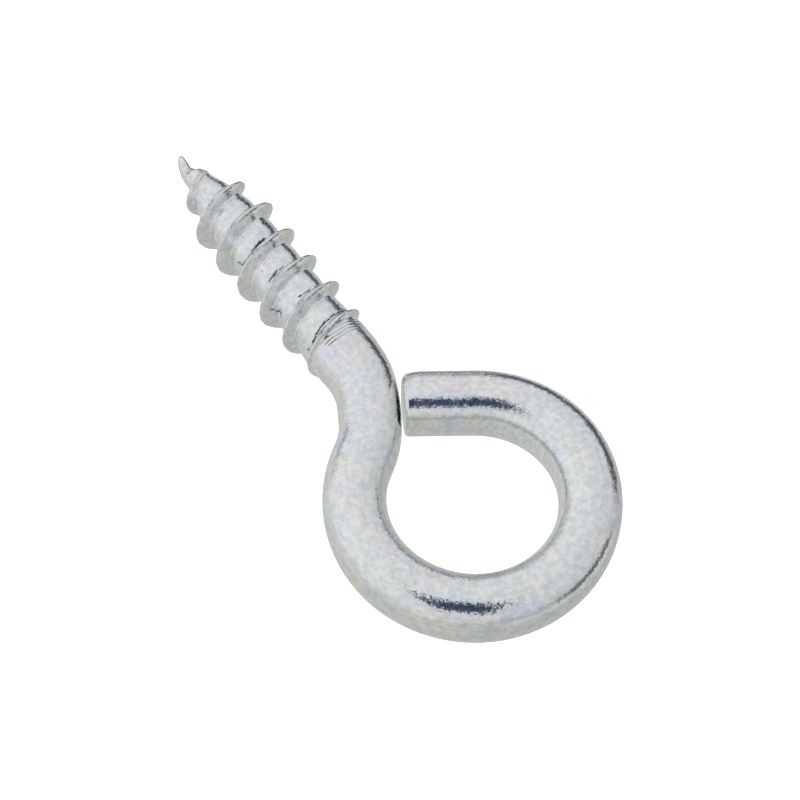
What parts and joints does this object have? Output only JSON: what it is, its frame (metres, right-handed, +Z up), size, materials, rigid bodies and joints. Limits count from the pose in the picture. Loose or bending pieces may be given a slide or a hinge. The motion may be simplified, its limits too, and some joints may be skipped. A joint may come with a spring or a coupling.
{
  "type": "screw eye",
  "caption": "One-piece wire screw eye: a right-hand wood-screw thread with a gimlet point, and the other end bent round into a closed eye whose sheared end butts against the neck.",
  "frame": {"origin": "under the middle of the piece as it lies flat: centre of its box in X and Y, and its lowest point in Z", "axes": "+Y along the screw from the eye to the point, +X across the eye towards its closing bend, +Z up, square to the plane of the eye"},
  "size_m": [0.0242, 0.0532, 0.0071],
  "materials": {
    "zinc_plated_steel": "bright zinc electroplate on drawn and rolled low-carbon steel wire, satin, with fine drawing lines"
  },
  "bodies": {
    "root": {"screw_eye": "zinc_plated_steel"}
  },
  "joints": []
}
